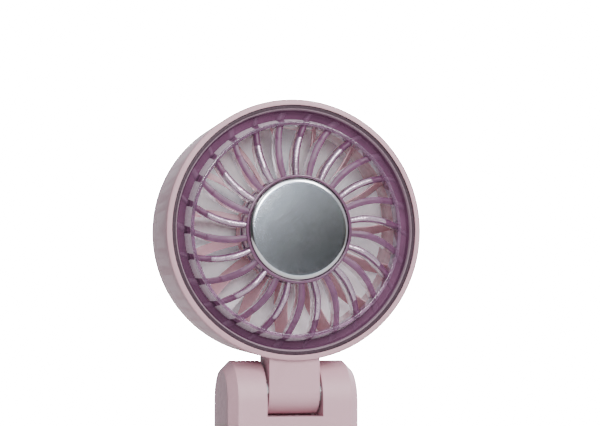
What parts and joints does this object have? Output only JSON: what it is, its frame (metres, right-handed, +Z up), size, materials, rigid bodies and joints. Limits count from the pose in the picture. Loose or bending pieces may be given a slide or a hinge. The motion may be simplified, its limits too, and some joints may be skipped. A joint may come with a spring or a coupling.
{
  "type": "folding handheld fan",
  "caption": "Handheld fan with a round head on a folding neck, a tinted grille of swept spokes round a metal cooling plate, and a bevelled battery handle.",
  "frame": {"origin": "centre of the underside of the foot pad, at the base of the handle", "axes": "+Z up along the handle, -Y the side that the air blows out of, +X to the right as seen from the front"},
  "size_m": [0.088, 0.0427, 0.2066],
  "materials": {
    "housing": "fine satin moulding in pale mauve pink",
    "tinted_clear": "polished clear plastic tinted purple",
    "cooling_steel": "finely blasted face with a polished rolled edge",
    "seal_rubber": "matt",
    "ceramic_white": "matt ceramic",
    "pad_silicone": "soft matt",
    "heat_sink_aluminium": "extruded",
    "screw_steel": "plated",
    "duct_plastic": "satin moulding in dusty pink",
    "circuit_board": "solder mask",
    "motor_steel": "stamped",
    "copper_wire": "enamelled wire",
    "bush_brass": "turned",
    "impeller_plastic": "smooth white moulding",
    "magnet": "sintered",
    "cell_wrap": "shrink wrap",
    "switch_black": "moulded",
    "display_acrylic": "polished smoked acrylic",
    "foot_rubber": "matt",
    "button_plastic": "satin"
  },
  "bodies": {
    "handle": {"handle_front": "housing", "handle_rear": "housing", "handle_screws": "screw_steel", "hinge_pin": "screw_steel", "friction_washers": "screw_steel", "hinge_plug": "housing", "battery_cell": "cell_wrap", "battery_tabs": "screw_steel", "main_board": "circuit_board", "charge_board": "circuit_board", "usb_socket": "screw_steel", "power_switch": "switch_black", "cool_switch": "switch_black", "display_module": "switch_black", "display_window": "display_acrylic", "foot_pad": "foot_rubber"},
    "head": {"head_shell": "housing", "neck_cover": "housing", "front_grille": "tinted_clear", "cooling_plate": "cooling_steel", "plate_gasket": "seal_rubber", "peltier_module": "ceramic_white", "thermal_pad": "pad_silicone", "heat_sink": "heat_sink_aluminium", "heat_sink_screws": "screw_steel", "vane_ring": "duct_plastic", "vane_ring_screws": "screw_steel", "duct_sleeve": "duct_plastic", "motor_board": "circuit_board", "motor_laminations": "motor_steel", "motor_windings": "copper_wire", "motor_bearings": "screw_steel", "rear_grille": "housing", "rear_grille_screws": "screw_steel", "knuckle_bush": "bush_brass", "neck_screws": "screw_steel"},
    "rotor": {"impeller": "impeller_plastic", "rotor_can": "motor_steel", "rotor_magnet": "magnet", "motor_shaft": "screw_steel", "shaft_clip": "screw_steel"},
    "power": {"power_button": "button_plastic", "power_plunger": "switch_black"},
    "cool": {"cool_button": "button_plastic", "cool_plunger": "switch_black"}
  },
  "joints": [
    {"name": "head_fold", "type": "hinge", "parent": "handle", "child": "head", "pos_m": [0, -0.0058, 0.1078], "axis": [1, 0, 0], "range_deg": [0, 90]},
    {"name": "impeller_spin", "type": "hinge", "parent": "head", "child": "rotor", "pos_m": [0, 0.004, 0.1626], "axis": [0, 1, 0], "continuous": true},
    {"name": "power_press", "type": "slide", "parent": "handle", "child": "power", "axis": [0, 1, 0], "range_m": [0, 0.0005], "stiffness_N_per_m": 900, "springref_m": -0.0006},
    {"name": "cool_press", "type": "slide", "parent": "handle", "child": "cool", "axis": [0, 1, 0], "range_m": [0, 0.0005], "stiffness_N_per_m": 900, "springref_m": -0.0006}
  ]
}
